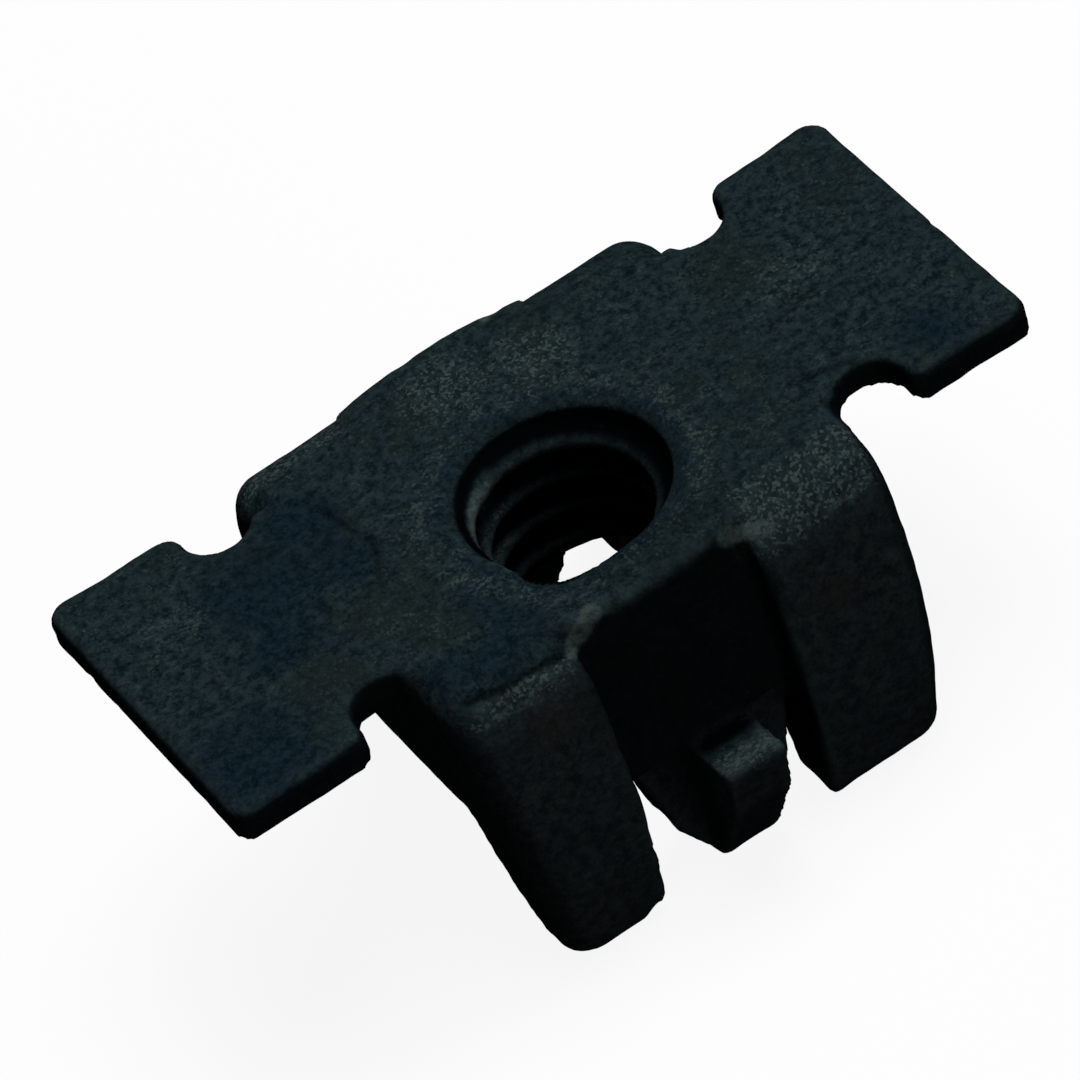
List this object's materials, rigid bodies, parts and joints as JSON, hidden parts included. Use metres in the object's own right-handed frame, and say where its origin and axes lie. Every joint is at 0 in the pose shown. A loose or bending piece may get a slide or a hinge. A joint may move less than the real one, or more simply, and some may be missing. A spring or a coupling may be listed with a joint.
{
  "type": "snap-in nut",
  "caption": "Winged snap-in nut with a threaded body, flat wings, splayed corner legs and barbed locking tongues, in rough black-finished steel.",
  "frame": {"origin": "on the thread axis, level with the underside of the wings, which seats on the panel", "axes": "+X along the wings, +Y across the body towards one pair of legs, +Z out of the panel along the thread axis, the way the bolt leaves"},
  "size_m": [0.0278, 0.0192, 0.0112],
  "materials": {
    "black_steel": "rough black phosphate over formed steel, worn lighter on edges"
  },
  "bodies": {
    "root": {"snap_in_nut": "black_steel"}
  },
  "joints": []
}
